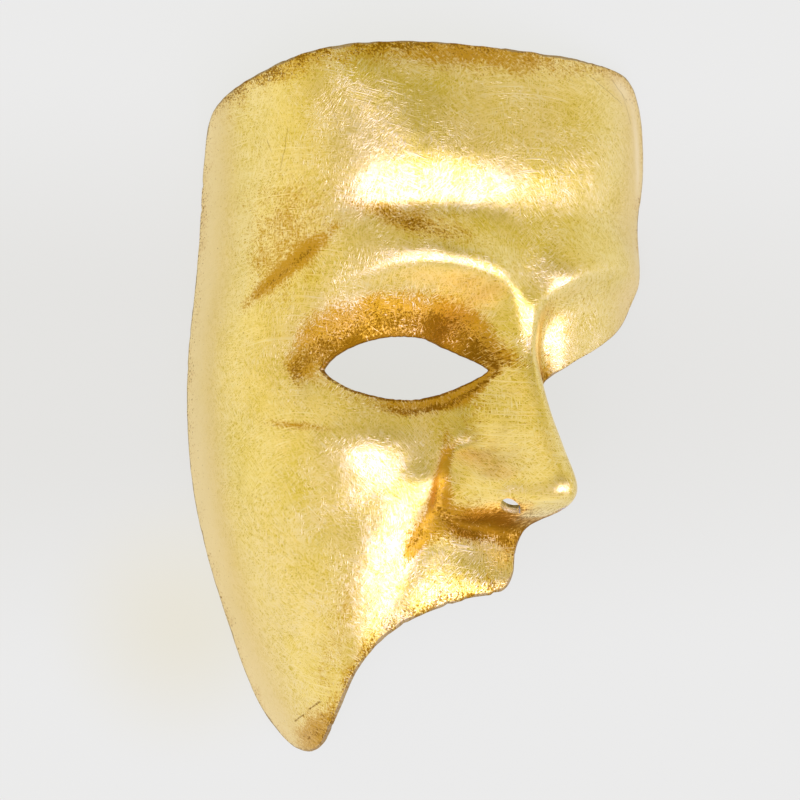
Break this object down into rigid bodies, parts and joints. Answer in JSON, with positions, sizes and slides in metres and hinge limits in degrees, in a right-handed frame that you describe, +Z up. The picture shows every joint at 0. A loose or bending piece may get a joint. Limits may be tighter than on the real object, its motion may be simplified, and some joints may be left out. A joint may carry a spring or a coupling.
{
  "type": "gilded half mask",
  "caption": "One-sided half mask of gilded papier-mache: full forehead, one eye hole, nose and one cheek, hollow behind, lying face up on its rim.",
  "frame": {"origin": "on the table, below the middle of the mask's overall box", "axes": "+Z up, out of the face; +Y towards the top of the forehead; +X towards the side that the face turns to"},
  "size_m": [0.1426, 0.2168, 0.0657],
  "materials": {
    "gilded_paper": "rubbed gold leaf with a brown glaze in the hollows, worn at the edges, bare blue-grey paper inside"
  },
  "bodies": {
    "root": {"mask_shell": "gilded_paper"}
  },
  "joints": []
}
